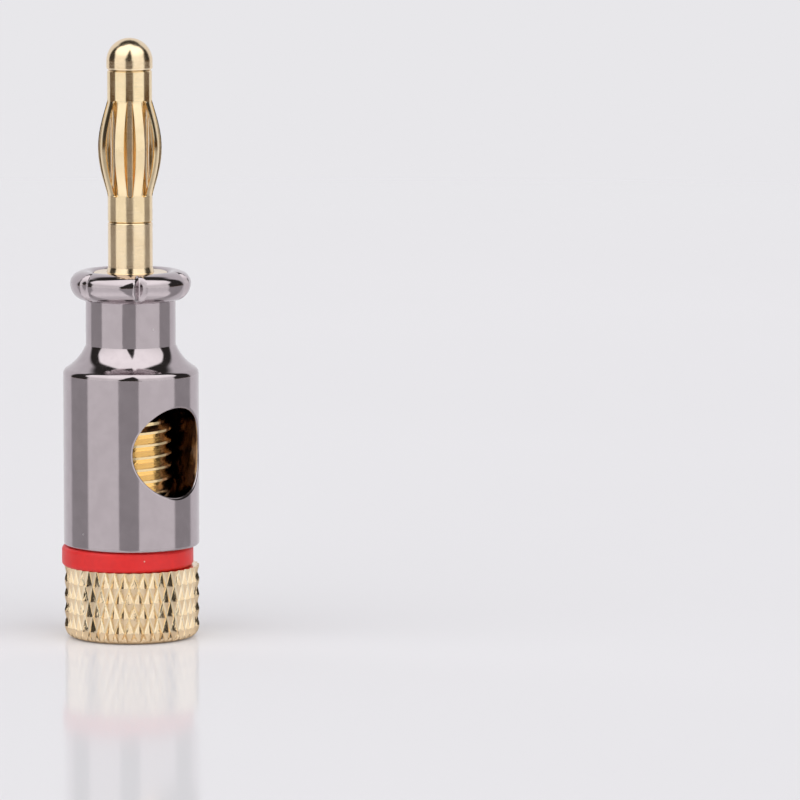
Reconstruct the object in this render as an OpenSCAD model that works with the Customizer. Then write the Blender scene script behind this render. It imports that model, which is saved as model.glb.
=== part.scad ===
// Screw-type banana plug for a 4 mm socket: a plated shell with a side wire hole, a pin with
// a lantern spring, a coloured ring and a knurled tail screw that clamps the wire.
// Millimetres. The plug's axis is Z, its tail stands on z = 0 and the wire hole faces -Y.

/* [Tail screw] */
// Diameter over the knurled head
head_d = 10; // [8:0.1:14]
// Height of the knurled head
head_h = 5.33; // [4:0.01:8]
// Corner radius at the rear end of the head
head_round = 0.6; // [0.2:0.05:1]
// Number of knurl diamonds around the head
knurl_count = 41; // [24:1:56]
// Height of one knurl diamond, which is eased to end the rows at the front of the head
knurl_h = 2.22; // [1.4:0.02:3]
// Depth of the knurl grooves
knurl_depth = 0.25; // [0.1:0.01:0.4]
// Height of the lowest row of knurl peaks
knurl_first = 0.85; // [0.3:0.01:1.4]
// Diameter of the stem over its thread
stem_d = 6; // [4.6:0.1:6.6]
// Length of the stem in front of the head
stem_l = 10.97; // [8:0.01:11.5]
// Chamfer at the end of the stem
stem_chamfer = 0.5; // [0.1:0.05:0.8]
// Diameter of the wire bore through the screw
wire_bore_d = 3.5; // [2:0.1:3.6]
// Depth of the countersink at the rear mouth of the wire bore
wire_mouth = 0.6; // [0.2:0.05:0.9]

/* [Colour ring] */
// Outer diameter of the ring
ring_d = 9.7; // [8.6:0.1:10]
// Thickness of the ring along the axis
ring_t = 1.5; // [0.8:0.05:2.5]
// Radius of the ring's outer edges
ring_round = 0.3; // [0.1:0.05:0.4]
// Radial play of the ring on the stem when it is centred
ring_play = 0.4; // [0.2:0.05:0.6]
// Gap left on the side where the loose ring has slid up to the stem
ring_gap = 0.1; // [0.05:0.01:0.15]
// Direction in which the loose ring lies off the axis
ring_side = 140; // [0:5:355]

/* [Shell] */
// Diameter of the shell's body
body_d = 10; // [8.8:0.1:12]
// Length of the straight part of the body
body_l = 12.7; // [12:0.1:18]
// Radius of the body's rear edge
body_round = 0.25; // [0.1:0.05:0.5]
// Radius of the shoulder's outer corner
corner_r = 0.57; // [0.2:0.01:0.8]
// Radius of the hollow flare between shoulder and neck
flare_r = 3.6; // [2.8:0.1:4.2]
// Slope of the flare where it leaves the neck
flare_start = 22; // [10:1:30]
// Diameter of the neck
neck_d = 6.63; // [5.6:0.01:7.2]
// Length of the neck between flare and bead
neck_l = 3.3; // [2:0.1:5]
// Diameter over the bead at the mouth
bead_d = 8.9; // [8:0.1:9.6]
// Height of the bead behind its widest point
bead_rear = 1.25; // [0.8:0.05:1.6]
// Height of the bead in front of its widest point
bead_front = 0.91; // [0.7:0.01:1.2]
// Number of notches around the bead
notch_count = 6; // [3:1:10]
// Depth of a notch at the widest point of the bead
notch_depth = 0.45; // [0.2:0.05:0.6]
// Diameter of the recess in the mouth
mouth_d = 6.14; // [5.7:0.02:6.4]
// Depth of the recess in the mouth
mouth_depth = 1.6; // [1.2:0.05:1.8]
// Radial clearance between the stem and the shell's bore
thread_clear = 0.05; // [0.02:0.01:0.1]
// Lead-in chamfer at the rear of the shell's bore
lead_in = 0.3; // [0.1:0.05:0.5]
// Diameter of the side wire hole
hole_d = 6.6; // [4:0.1:7]
// Height of the wire hole's centre above the shell's rear face
hole_rise = 7.23; // [6:0.01:8]
// Depth of the wire hole from the body's outside
hole_depth = 5; // [4:0.1:6]
// Metal between the wire hole and the end of the bore
bore_past_hole = 0.35; // [0.2:0.05:0.8]

/* [Banana pin] */
// Diameter of the shank pressed into the shell
shank_d = 4; // [3:0.1:4.6]
// Diameter of the flange in the mouth
flange_d = 5.44; // [4.8:0.02:5.6]
// Thickness of the flange
flange_t = 1.5; // [1:0.05:1.8]
// Height of the coned collar between flange and shaft
collar_h = 0.35; // [0.2:0.05:0.8]
// Radial step of the collar at the flange
collar_step = 0.1; // [0.1:0.05:0.4]
// Diameter of the shaft
shaft_d = 3.3; // [2.8:0.05:3.6]
// Length of the shaft from the flange to the spring
shaft_l = 3.7; // [2:0.01:6]
// Edge break at the front of the shaft
shaft_break = 0.08; // [0.04:0.01:0.15]
// Diameter of the rounded nose
nose_d = 3.4; // [3.1:0.05:3.8]
// Length of the straight part of the nose
nose_l = 0.65; // [0.2:0.05:1.5]
// Edge break at the rear of the nose
nose_break = 0.12; // [0.04:0.01:0.15]

/* [Lantern spring] */
// Length of the rolled sleeve
sleeve_l = 11.1; // [9:0.05:14]
// Sheet thickness of the sleeve
sheet_t = 0.22; // [0.12:0.02:0.3]
// Clearance of the sleeve on the core of the pin, all round and end to end
sleeve_clear = 0.03; // [0.02:0.01:0.06]
// Number of leaves
leaf_count = 9; // [6:1:10]
// Width of the slots between the leaves, at the closed bands
slot_w = 0.45; // [0.3:0.01:0.6]
// Width of the slots between the leaves, at the widest point of the bow
slot_mid_w = 1.05; // [0.8:0.01:1.2]
// How far the drilled round ends stand out past each side of a slot
slot_ease = 0.04; // [0.03:0.01:0.08]
// Length of the closed band at the rear of the sleeve
band_l = 1.85; // [1:0.05:2.5]
// Length of the slots between the leaves
slot_l = 7.1; // [5:0.1:7.6]
// Distance from a slot's end to where the leaves start to bow
bow_inset = 0.12; // [0.06:0.02:0.2]
// Diameter over the bowed leaves
bulge_d = 4.67; // [4.2:0.01:5.2]
// How quickly the leaves bend away from the bands
bow_power = 1.05; // [1:0.05:2]
// Direction of the first slot
slot_side = 230.7; // [0:0.1:360]

/* [Hidden] */
$fn = 96;
CUT = 1;
ARC_STEPS = 12;
CORNER_STEPS = 4;
BOW_STEPS = 20;
GOLD = "#e3c48f";
SPRING_GOLD = "#e8cd9c";
GUN_METAL = "#8d8587";
RED = "#d8302f";

head_r = head_d / 2;
stem_r = stem_d / 2;
wire_r = wire_bore_d / 2;
stem_end = head_h + stem_l;
knurl_rows = round((head_h - knurl_first) / (knurl_h / 2));
knurl_step = (head_h - knurl_first) / knurl_rows;
knurl_cols = 2 * knurl_count;

ring_r = ring_d / 2;
ring_bore_r = stem_r + ring_play;
ring_shift = ring_play - ring_gap;

body_r = body_d / 2;
neck_r = neck_d / 2;
bead_r = bead_d / 2;
bore_r = stem_r + thread_clear;
shell_rear = head_h + ring_t;
body_top = shell_rear + body_l;
flare_x = neck_r + flare_r * cos(flare_start);
flare_end = acos((flare_x + corner_r - body_r) / (flare_r + corner_r));
flare_z = body_top + (flare_r + corner_r) * sin(flare_end);
neck_z = flare_z - flare_r * sin(flare_start);
bead_z = neck_z + neck_l + bead_rear;
mouth_z = bead_z + bead_front;
seat_z = mouth_z - mouth_depth;
hole_z = shell_rear + hole_rise;
bore_end = hole_z + hole_d / 2 + bore_past_hole;

shaft_r = shaft_d / 2;
nose_r = nose_d / 2;
core_r = shaft_r - sheet_t - sleeve_clear;
flange_top = seat_z + flange_t;
sleeve_seat = flange_top + shaft_l;
nose_z = sleeve_seat + sleeve_l + 2 * sleeve_clear;

sleeve_z = sleeve_seat + sleeve_clear;
slot_z = sleeve_z + band_l;
bow_z = slot_z + bow_inset;
bow_l = slot_l - 2 * bow_inset;
slot_slope = (slot_mid_w - slot_w) / (bulge_d - shaft_d);
slot_apex = shaft_r - slot_w / 2 / slot_slope;
slot_end_r = slot_w / 2 + slot_ease;

// Points on an ellipse of half axes rx and ry about the point c, from angle a to angle b
function arc(c, rx, ry, a, b) =
    [for (i = [0 : ARC_STEPS]) let (t = a + (b - a) * i / ARC_STEPS) c + [rx * cos(t), ry * sin(t)]];

// Outline of the shell's half section, outside from the rear to the mouth, then back inside
function shell_outline() = concat(
    arc([body_r - body_round, shell_rear + body_round], body_round, body_round, -90, 0),
    arc([body_r - corner_r, body_top], corner_r, corner_r, 0, flare_end),
    arc([flare_x, flare_z], flare_r, flare_r, 180 + flare_end, 180 + flare_start),
    arc([neck_r, bead_z], bead_r - neck_r, bead_rear, -90, 0),
    arc([neck_r, bead_z], bead_r - neck_r, bead_front, 0, 90),
    [
        [mouth_d / 2, mouth_z],
        [mouth_d / 2, seat_z],
        [shank_d / 2, seat_z],
        [shank_d / 2, bore_end],
        [bore_r, bore_end],
        [bore_r, shell_rear + lead_in],
        [bore_r + lead_in, shell_rear]
    ]
);

// One V notch along the axis, cut into the bead
module bead_notch() {
    notch_h = bead_rear + bead_front;
    translate([bead_r, 0, mouth_z - notch_h / 2])
        rotate(45)
            cube([notch_depth * sqrt(2), notch_depth * sqrt(2), notch_h + CUT], center = true);
}

module shell() {
    color(GUN_METAL)
        difference() {
            rotate_extrude() polygon(shell_outline());
            translate([0, -body_r - CUT, hole_z])
                rotate([-90, 0, 0])
                    cylinder(d = hole_d, h = hole_depth + CUT);
            for (i = [0 : notch_count - 1])
                rotate((i + 0.5) * 360 / notch_count - 90) bead_notch();
        }
}

module banana_pin() {
    color(GOLD)
        rotate_extrude()
            polygon(concat(
                [
                    [0, bore_end],
                    [shank_d / 2, bore_end],
                    [shank_d / 2, seat_z],
                    [flange_d / 2, seat_z],
                    [flange_d / 2, flange_top],
                    [shaft_r + collar_step, flange_top],
                    [shaft_r, flange_top + collar_h],
                    [shaft_r, sleeve_seat - shaft_break],
                    [shaft_r - shaft_break, sleeve_seat],
                    [core_r, sleeve_seat],
                    [core_r, nose_z],
                    [nose_r - nose_break, nose_z],
                    [nose_r, nose_z + nose_break]
                ],
                arc([0, nose_z + nose_l], nose_r, nose_r, 0, 90)
            ));
}

// Outline of the sleeve's half section, with wall faces on both sides of the bowed leaves
function bow(t) = (bulge_d / 2 - shaft_r) * pow(sin(180 * t), bow_power);
function leaf_line(r) = [for (i = [0 : BOW_STEPS]) [r + bow(i / BOW_STEPS), bow_z + bow_l * i / BOW_STEPS]];
function reversed(list) = [for (i = [len(list) - 1 : -1 : 0]) list[i]];
function sleeve_outline() = concat(
    [[shaft_r - sheet_t, sleeve_z], [shaft_r, sleeve_z]],
    leaf_line(shaft_r),
    [[shaft_r, sleeve_z + sleeve_l], [shaft_r - sheet_t, sleeve_z + sleeve_l]],
    reversed(leaf_line(shaft_r - sheet_t))
);

// One slot with round ends, cut as a wedge so that it widens where the leaves bow out
module leaf_slot() {
    reach = bulge_d;
    flank = slot_slope * (reach - slot_apex);
    translate([0, 0, slot_z + slot_end_r])
        linear_extrude(slot_l - 2 * slot_end_r)
            polygon([[slot_apex, 0], [reach, -flank], [reach, flank]]);
    for (z = [slot_z + slot_end_r, slot_z + slot_l - slot_end_r])
        translate([slot_apex, 0, z])
            rotate([0, 90, 0])
                cylinder(r = slot_end_r, h = reach - slot_apex);
}

module lantern_spring() {
    color(SPRING_GOLD)
        difference() {
            rotate_extrude() polygon(sleeve_outline());
            for (i = [0 : leaf_count - 1])
                rotate(slot_side + i * 360 / leaf_count) leaf_slot();
        }
}

module colour_ring() {
    color(RED)
        translate(ring_shift * [cos(ring_side), sin(ring_side), 0])
            rotate_extrude()
                polygon(concat(
                    [[ring_bore_r, shell_rear], [ring_bore_r, head_h]],
                    arc([ring_r - ring_round, head_h + ring_round], ring_round, ring_round, -90, 0),
                    arc([ring_r - ring_round, shell_rear - ring_round], ring_round, ring_round, 0, 90)
                ));
}

// Radius of the knurl at height z in one column: it runs straight from groove crossing to peak
function knurl_r(z, col) =
    let (turn = ((z - knurl_first) / knurl_step + col + knurl_cols) % 2)
    head_r - knurl_depth * abs(turn - 1);

// Radius of the round rear corner at height z
function corner_limit(z) =
    z >= head_round ? head_r : head_r - head_round + sqrt(pow(head_round, 2) - pow(head_round - z, 2));

// Knurled head: rows of points alternate between groove crossings and diamond peaks, the rows
// below them follow the round corner, and each cell is folded along the groove through it
module knurled_head() {
    corner_z = [for (i = [0 : CORNER_STEPS]) head_round * (1 - cos(90 * i / CORNER_STEPS))];
    rows = concat(corner_z, [for (i = [0 : knurl_rows]) knurl_first + i * knurl_step]);
    points = [
        for (z = rows)
            for (col = [0 : knurl_cols - 1])
                let (r = min(knurl_r(z, col), corner_limit(z)), a = 360 * col / knurl_cols)
                [r * cos(a), r * sin(a), z]
    ];
    cells = [
        for (row = [0 : len(rows) - 2])
            for (col = [0 : knurl_cols - 1])
                let (next = (col + 1) % knurl_cols, low = row * knurl_cols, high = low + knurl_cols)
                let (knurl_row = max(row - len(corner_z), -1))
                each (knurl_row + knurl_cols + col) % 2 == 0
                    ? [[low + col, high + next, low + next], [low + col, high + col, high + next]]
                    : [[low + col, high + col, low + next], [low + next, high + col, high + next]]
    ];
    ends = [
        [for (col = [0 : knurl_cols - 1]) col],
        [for (col = [knurl_cols - 1 : -1 : 0]) (len(rows) - 1) * knurl_cols + col]
    ];
    polyhedron(points, concat(cells, ends));
}

module tail_screw() {
    color(GOLD)
        difference() {
            union() {
                knurled_head();
                rotate_extrude()
                    polygon([
                        [0, head_h / 2],
                        [stem_r, head_h / 2],
                        [stem_r, stem_end - stem_chamfer],
                        [stem_r - stem_chamfer, stem_end],
                        [0, stem_end]
                    ]);
            }
            translate([0, 0, -CUT]) cylinder(r = wire_r, h = stem_end + 2 * CUT);
            translate([0, 0, -CUT])
                cylinder(r1 = wire_r + wire_mouth + CUT, r2 = wire_r, h = wire_mouth + CUT);
        }
}

shell();
banana_pin();
lantern_spring();
colour_ring();
tail_screw();
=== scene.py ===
"""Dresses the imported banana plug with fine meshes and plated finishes, in a small light tent.

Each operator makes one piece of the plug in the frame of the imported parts, in metres: the plug's
axis is Z, its tail stands on z = 0 and the side wire hole faces -Y.
"""

import math

import bmesh
import bpy
import numpy as np
from mathutils import Matrix, Vector


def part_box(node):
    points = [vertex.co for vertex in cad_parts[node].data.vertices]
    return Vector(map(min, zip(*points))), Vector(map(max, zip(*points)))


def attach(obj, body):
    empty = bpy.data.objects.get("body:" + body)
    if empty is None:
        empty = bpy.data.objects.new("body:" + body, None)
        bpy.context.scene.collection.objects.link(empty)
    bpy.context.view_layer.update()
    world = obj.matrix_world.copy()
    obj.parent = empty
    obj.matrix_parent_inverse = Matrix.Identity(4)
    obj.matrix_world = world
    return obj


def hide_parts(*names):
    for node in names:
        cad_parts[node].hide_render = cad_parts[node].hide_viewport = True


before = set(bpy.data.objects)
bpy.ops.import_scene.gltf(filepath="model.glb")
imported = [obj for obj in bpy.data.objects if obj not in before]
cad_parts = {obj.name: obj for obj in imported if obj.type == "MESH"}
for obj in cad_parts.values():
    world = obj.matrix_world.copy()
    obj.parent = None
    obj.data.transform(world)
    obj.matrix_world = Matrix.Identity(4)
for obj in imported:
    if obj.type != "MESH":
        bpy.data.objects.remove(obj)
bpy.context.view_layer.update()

bl_info = {
    "name": "Banana plug dressing",
    "version": (1, 0, 0),
    "blender": (4, 5, 0),
    "location": "3D View > Sidebar > Plug",
    "description": "Fine meshes, plated finishes and a light tent for a screw-type banana plug",
    "category": "Object",
}

MM = 0.001
FULL_TURN = 2 * math.pi
QUARTER = math.pi / 2

# Mesh fineness
TURN_SEGMENTS = 192
SHELL_SEGMENTS = 384
ARC_ROWS = 20
HOLE_SEGMENTS = 160
RIM_ANGLES = (0, 13, 26, 39, 52, 65, 76)
LEAF_COLUMNS = 10
LEAF_ROWS = 44
SLOT_END_ROWS = 8
SPIRAL_POINTS = 96
KNURL_CUTS = 2
POLE = 1e-7
WELD = 1e-6
SHARP_ANGLE = math.radians(22)
TURNED_NORMAL = "turned_normal"

# Thread ridges: how deep they sit in the root, the turns over which they run out and what is left
THREAD_SUNK = 0.05 * MM
THREAD_RUN_OUT = 0.35
THREAD_TIP = 0.05

# Finishes
DENT_SCALE = 14.0
BUMP_DISTANCE = 0.02 * MM
ZONE_EDGE = 0.02 * MM
METAL_DUST = (0.65, 0.62, 0.62, 1)
PLASTIC_DUST = (0.8, 0.5, 0.42, 1)


# Properties

def length(name, description, millimetres):
    """A size in metres whose default is given in millimetres"""
    return bpy.props.FloatProperty(
        name=name, description=description, default=millimetres * MM, min=0.0, unit="LENGTH", precision=5
    )


def turn(name, description, degrees):
    """An angle whose default is given in degrees"""
    return bpy.props.FloatProperty(
        name=name, description=description, default=math.radians(degrees), subtype="ANGLE"
    )


def number(name, description, default):
    """A count of like features"""
    return bpy.props.IntProperty(name=name, description=description, default=default, min=1)


def level(name, description, default):
    """A plain value without a unit"""
    return bpy.props.FloatProperty(name=name, description=description, default=default, min=0.0)


def paint(name, description, default):
    """A colour in linear light"""
    return bpy.props.FloatVectorProperty(
        name=name, description=description, default=default, min=0.0, max=1.0, size=3, subtype="COLOR"
    )


def rear_of(node):
    """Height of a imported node's rear end, in millimetres"""
    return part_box(node)[0].z / MM


def front_of(node):
    """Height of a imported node's front end, in millimetres"""
    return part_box(node)[1].z / MM


class ShellSizes(bpy.types.PropertyGroup):
    """Sizes and colours of the plated shell"""

    rear: length("Rear end", "Height of the shell's rear face", rear_of("shell"))
    mouth: length("Mouth", "Height of the shell's mouth", front_of("shell"))
    body_d: length("Body diameter", "Diameter of the straight body", 10.0)
    body_round: length("Rear edge", "Radius of the body's rear edge", 0.25)
    corner_r: length("Shoulder corner", "Radius of the shoulder's outer corner", 0.57)
    flare_r: length("Flare radius", "Radius of the hollow flare between shoulder and neck", 3.6)
    flare_start: turn("Flare slope", "Slope of the flare where it leaves the neck", 22.0)
    neck_d: length("Neck diameter", "Diameter of the neck", 6.63)
    neck_l: length("Neck length", "Length of the neck between flare and bead", 3.3)
    bead_d: length("Bead diameter", "Diameter over the bead at the mouth", 8.9)
    bead_rear: length("Bead rear", "Height of the bead behind its widest point", 1.25)
    bead_front: length("Bead front", "Height of the bead in front of its widest point", 0.91)
    notch_count: number("Notches", "Number of notches around the bead", 6)
    notch_depth: length("Notch depth", "Depth of a notch at the widest point of the bead", 0.42)
    notch_turn: turn("Notch turn", "How far the notches are turned from between the hole's sides", -4.2)
    notch_r: length("Notch radius", "Radius of the round bottom of a notch", 0.06)
    notch_slope: level("Notch slope", "How steeply the sides of a notch rise", 1.0)
    notch_soft: length("Notch edge", "Softness of a notch's edges", 0.1)
    mouth_d: length("Mouth diameter", "Diameter of the recess in the mouth", 5.6)
    mouth_depth: length("Mouth depth", "Depth of the recess in the mouth", 1.6)
    mouth_lip: length("Mouth lip", "Height of the rounded lip around the mouth", 0.25)
    shank_d: length("Socket diameter", "Diameter of the socket that holds the pin's shank", 4.0)
    bore_d: length("Bore diameter", "Diameter of the threaded bore over its crests", 6.1)
    bore_end: length("Bore end", "Height of the blind end of the bore", 17.71)
    lead_in: length("Lead-in", "Chamfer at the rear of the bore", 0.3)
    hole_d: length("Hole diameter", "Diameter of the side wire hole", 6.6)
    hole_z: length("Hole height", "Height of the side wire hole's centre", 14.06)
    hole_depth: length("Hole depth", "Depth of the hole from the body's outside", 5.0)
    hole_round: length("Hole rim", "Radius of the rounded rim of the hole", 0.2)
    pitch: length("Pitch", "Pitch of the right-hand thread in the bore", 0.9)
    thread_h: length("Thread height", "Height of the bore's thread", 0.3)
    crest_w: length("Crest width", "Width of the bore thread's crest", 0.1)
    root_w: length("Ridge width", "Width of the bore thread's ridge at its root", 0.4)
    light: paint("Plating light", "Light tone of the black nickel plate", (0.505, 0.447, 0.465))
    dark: paint("Plating dark", "Dark tone of the black nickel plate", (0.465, 0.410, 0.427))
    # Painted shade: the plated bore and hole walls get a darker brown tone for the shade inside them
    bore: paint("Bore", "Tone of the shaded bore and hole walls", (0.21, 0.145, 0.13))


class PinSizes(bpy.types.PropertyGroup):
    """Sizes and colours of the turned pin"""

    rear: length("Rear end", "Height of the shank's rear end", rear_of("banana_pin"))
    front: length("Nose tip", "Height of the nose's tip", front_of("banana_pin"))
    shank_d: length("Shank diameter", "Diameter of the shank pressed into the shell", 4.0)
    flange_d: length("Flange diameter", "Diameter of the flange in the mouth", 5.44)
    flange_rear: length("Flange rear", "Height of the flange's rear face", 25.569)
    flange_t: length("Flange thickness", "Thickness of the flange", 1.5)
    flange_round: length("Flange edge", "Radius of the flange's front edge", 0.12)
    collar_h: length("Collar height", "Height of the coned collar", 0.35)
    collar_step: length("Collar step", "Radial step of the collar at the flange", 0.1)
    shaft_d: length("Shaft diameter", "Diameter of the shaft", 3.3)
    shaft_break: length("Shaft edge", "Edge break at the front of the shaft", 0.14)
    core_d: length("Core diameter", "Diameter of the core under the spring", 2.8)
    nose_d: length("Nose diameter", "Diameter of the round nose", 3.4)
    nose_break: length("Nose edge", "Edge break at the rear of the nose", 0.2)
    play: length("Spring play", "Play between the spring and the faces that hold it", 0.03)
    light: paint("Gold light", "Light tone of the gold plate", (0.945, 0.765, 0.52))
    dark: paint("Gold dark", "Dark tone of the gold plate", (0.885, 0.695, 0.45))


class SpringSizes(bpy.types.PropertyGroup):
    """Sizes and colours of the lantern spring"""

    rear: length("Rear end", "Height of the sleeve's rear end", rear_of("lantern_spring"))
    front: length("Front end", "Height of the sleeve's front end", front_of("lantern_spring"))
    sleeve_d: length("Sleeve diameter", "Diameter of the closed bands", 3.3)
    bulge_d: length("Bulge diameter", "Diameter over the bowed leaves", 4.67)
    sheet_t: length("Sheet", "Thickness of the sheet", 0.22)
    leaf_count: number("Leaves", "Number of leaves", 9)
    slot_w: length("Slot width", "Width of the slots at the closed bands", 0.45)
    slot_mid_w: length("Slot middle width", "Width of the slots at the widest point of the bow", 0.93)
    band_l: length("Rear band", "Length of the closed band at the rear", 1.85)
    slot_l: length("Slot length", "Length of the slots between the leaves", 7.1)
    bow_inset: length("Bow inset", "Distance from a slot's end to where the leaves start to bow", 0.12)
    edge: length("Edge break", "Edge break along the leaves and at the ends", 0.055)
    slot_side: turn("Slot direction", "Direction of the first slot", 226.5)
    light: paint("Gold light", "Light tone of the spring's gold plate", (0.945, 0.765, 0.495))
    dark: paint("Gold dark", "Dark tone of the spring's gold plate", (0.885, 0.70, 0.43))


class RingSizes(bpy.types.PropertyGroup):
    """Sizes and colours of the colour ring"""

    rear: length("Rear face", "Height of the ring's rear face", rear_of("colour_ring"))
    front: length("Front face", "Height of the ring's front face", front_of("colour_ring"))
    outer_d: length("Diameter", "Outer diameter of the ring", 9.7)
    bore_d: length("Bore", "Diameter of the ring's bore", 6.8)
    edge: length("Edge radius", "Radius of the ring's outer edges", 0.3)
    light: paint("Red light", "Light tone of the red plastic", (0.86, 0.021, 0.019))
    dark: paint("Red dark", "Dark tone of the red plastic", (0.78, 0.016, 0.016))


class ScrewSizes(bpy.types.PropertyGroup):
    """Sizes and colours of the knurled tail screw"""

    front: length("Stem end", "Height of the stem's front end", front_of("tail_screw"))
    head_d: length("Head diameter", "Diameter over the knurled head", 10.0)
    head_h: length("Head height", "Height of the knurled head", 5.33)
    head_round: length("Head corner", "Radius of the head's rear corner", 0.85)
    knurl_count: number("Diamonds", "Number of knurl diamonds around the head", 41)
    knurl_rows: number("Knurl rows", "Half diamonds from the lowest peaks to the head's front", 4)
    knurl_first: length("Lowest peaks", "Height of the lowest row of knurl peaks", 0.85)
    knurl_depth: length("Knurl depth", "Depth of the knurl grooves", 0.25)
    knurl_end: length("Knurl end", "Height at which the knurl has run out on the rounded corner", 0.1)
    knurl_wear: length("Knurl wear", "Depth of the dents in the knurl's facets", 0.06)
    corner_soft: length("Corner softness", "Depth over which the knurl's facets run into the corner", 0.2)
    stem_d: length("Thread diameter", "Diameter of the stem over its thread", 6.0)
    stem_chamfer: length("Stem chamfer", "Chamfer at the end of the stem", 0.5)
    pitch: length("Pitch", "Pitch of the right-hand thread", 0.9)
    thread_h: length("Thread height", "Height of the thread's ridge", 0.45)
    crest_w: length("Crest width", "Width of the thread's crest", 0.17)
    root_w: length("Ridge width", "Width of the thread's ridge at its root", 1.0)
    bore_d: length("Wire bore", "Diameter of the wire bore", 3.5)
    bore_mouth: length("Bore mouth", "Depth of the countersink at the wire bore's rear mouth", 0.6)
    light: paint("Gold light", "Light tone of the knurl's gold plate", (0.91, 0.715, 0.475))
    dark: paint("Gold dark", "Dark tone of the knurl's gold plate", (0.85, 0.645, 0.405))
    # Painted light: the grooves are painted paler than the facets, against the deeper gold of their
    # inter-reflections
    groove_light: paint("Groove gold", "Tone of the gold plate in the knurl's grooves", (0.95, 0.81, 0.58))
    stem: paint("Stem gold", "Tone of the gold plate on the thread", (0.92, 0.71, 0.4))


class StudioSizes(bpy.types.PropertyGroup):
    """Camera and light tent"""

    azimuth: turn("Camera azimuth", "Direction that the camera stands in, from -Y towards +X", -43.5)
    distance: length("Camera distance", "Level distance from the camera to the plug's axis", 515.0)
    height: length("Camera height", "Height of the camera above the floor", 82.0)
    floor_r: length("Floor radius", "Radius of the floor", 1500.0)
    floor: paint("Floor", "Colour of the pale floor", (0.80, 0.79, 0.815))
    backdrop: paint("Backdrop", "Colour of the pale backdrop behind the plug", (0.807, 0.799, 0.823))
    panel: level("Panels", "Light level of the panels at eye level", 1.04)
    panel_rise: level("Panel rise", "How much brighter the panels are overhead", 0.55)
    lean: level("Tent lean", "Sideways shift of the tent's middle, as a share of the distance", 0.084)
    gap_high: paint("High gaps", "Colour of the gaps between panels above eye level", (0.04, 0.038, 0.036))
    gap_low: paint("Low gaps", "Colour of the gaps between panels below eye level", (0.08, 0.035, 0.0))


class PlugSettings(bpy.types.PropertyGroup):
    """All sizes and colours of the dressed plug"""

    shell: bpy.props.PointerProperty(type=ShellSizes)
    pin: bpy.props.PointerProperty(type=PinSizes)
    spring: bpy.props.PointerProperty(type=SpringSizes)
    ring: bpy.props.PointerProperty(type=RingSizes)
    screw: bpy.props.PointerProperty(type=ScrewSizes)
    studio: bpy.props.PointerProperty(type=StudioSizes)


# Node trees

class Wire:
    """An output of a node; sums and comparisons with it add math nodes to its tree"""

    def __init__(self, sheet, socket):
        self.sheet = sheet
        self.socket = socket

    def __getitem__(self, name):
        """Another output of the same node"""
        return Wire(self.sheet, self.socket.node.outputs[name])

    def __add__(self, other):
        return self.sheet.math("ADD", self, other)

    def __sub__(self, other):
        return self.sheet.math("SUBTRACT", self, other)

    def __rsub__(self, other):
        return self.sheet.math("SUBTRACT", other, self)

    def __mul__(self, other):
        return self.sheet.math("MULTIPLY", self, other)

    def __truediv__(self, other):
        return self.sheet.math("DIVIDE", self, other)

    def __rtruediv__(self, other):
        return self.sheet.math("DIVIDE", other, self)

    def __pow__(self, power):
        return self.sheet.math("POWER", self, power)

    def __gt__(self, other):
        return self.sheet.math("GREATER_THAN", self, other)

    def __lt__(self, other):
        return self.sheet.math("LESS_THAN", self, other)

    __radd__ = __add__
    __rmul__ = __mul__


class Sheet:
    """Writes a node tree as calls: each call adds a node, feeds it and returns one of its outputs"""

    def __init__(self, tree):
        self.tree = tree

    def add(self, kind, feeds=(), out=0, **settings):
        """A node of any kind, with feeds by name or in order"""
        node = self.tree.nodes.new(kind)
        for name, value in settings.items():
            setattr(node, name, value)
        pairs = feeds.items() if isinstance(feeds, dict) else enumerate(feeds)
        for key, value in pairs:
            self.feed(node.inputs[key], value)
        return Wire(self, node.outputs[out])

    def feed(self, socket, value):
        """Links a wire to a node's input, or sets a plain value there"""
        if isinstance(value, Wire):
            self.tree.links.new(value.socket, socket)
        else:
            socket.default_value = value

    def math(self, operation, *values):
        """A math node"""
        return self.add("ShaderNodeMath", values, operation=operation)

    def join(self, x=0.0, y=0.0, z=0.0):
        """A vector from its parts"""
        return self.add("ShaderNodeCombineXYZ", [x, y, z])

    def split(self, vector):
        """The X, Y and Z of a vector, by name"""
        return self.add("ShaderNodeSeparateXYZ", [vector])

    def radius(self, place):
        """Distance of a split place from the Z axis"""
        return self.math("SQRT", place["X"] ** 2 + place["Y"] ** 2)

    def noise(self, place, scale, **settings):
        """A noise texture's value"""
        return self.add("ShaderNodeTexNoise", {"Vector": place, "Scale": scale, **settings})

    def smooth(self, value, low, high):
        """0 below low, 1 above high and an eased step between"""
        feeds = {"Value": value, "From Min": low, "From Max": high}
        return self.add("ShaderNodeMapRange", feeds, interpolation_type="SMOOTHSTEP")

    def blend(self, share, first, second):
        """A colour that goes from first to second with share"""
        node = self.tree.nodes.new("ShaderNodeMix")
        node.data_type = "RGBA"
        self.feed(node.inputs["Factor"], share)
        colours = [socket for socket in node.inputs if socket.type == "RGBA"]
        self.feed(colours[0], first)
        self.feed(colours[1], second)
        return Wire(self, next(socket for socket in node.outputs if socket.type == "RGBA"))


def new_tree(name, kind, inputs, outputs):
    """An empty node group with named sockets: its sheet, its given values and its result sockets"""
    tree = bpy.data.node_groups.new(name, kind)
    for in_out, sockets in (("INPUT", inputs), ("OUTPUT", outputs)):
        for label, socket in sockets.items():
            tree.interface.new_socket(label, in_out=in_out, socket_type=f"NodeSocket{socket}")
    sheet = Sheet(tree)
    return sheet, sheet.add("NodeGroupInput"), tree.nodes.new("NodeGroupOutput").inputs


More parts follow.
